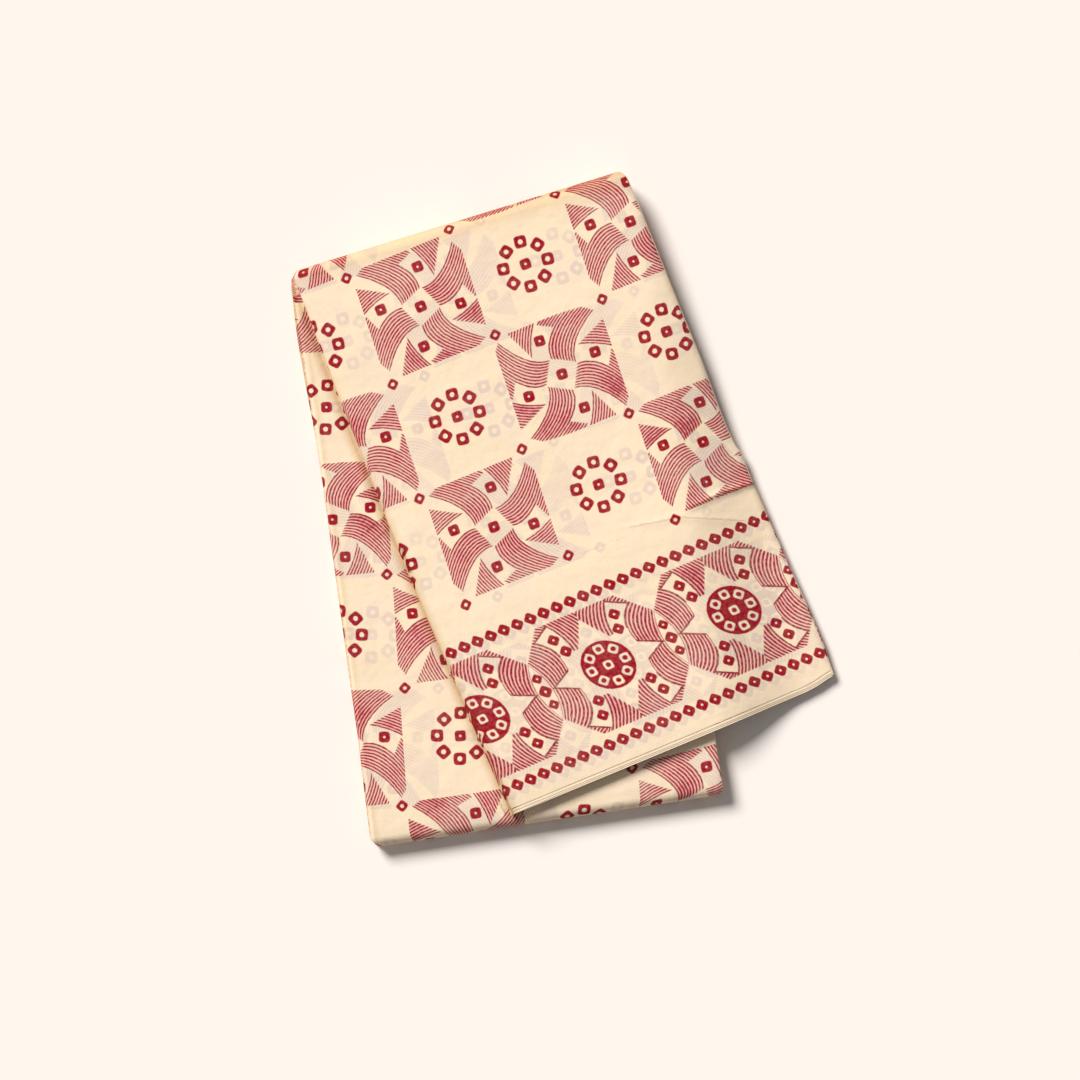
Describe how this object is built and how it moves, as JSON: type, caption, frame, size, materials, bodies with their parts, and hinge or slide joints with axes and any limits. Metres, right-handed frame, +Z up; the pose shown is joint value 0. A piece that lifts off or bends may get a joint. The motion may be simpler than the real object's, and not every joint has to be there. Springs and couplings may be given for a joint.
{
  "type": "cotton sari, folded",
  "caption": "Printed cotton sari folded into a long strip, then folded over itself in three with the top flap turned aside, lying flat.",
  "frame": {"origin": "middle of the footprint, on the surface that the folded cloth lies on", "axes": "+Z up out of the surface, +Y along the folded strip from its lower fold to its upper fold, +X to the right seen from above"},
  "size_m": [0.3558, 0.4412, 0.0207],
  "materials": {
    "printed_cotton": "matte"
  },
  "bodies": {
    "root": {"sari_cloth": "printed_cotton"}
  },
  "joints": []
}
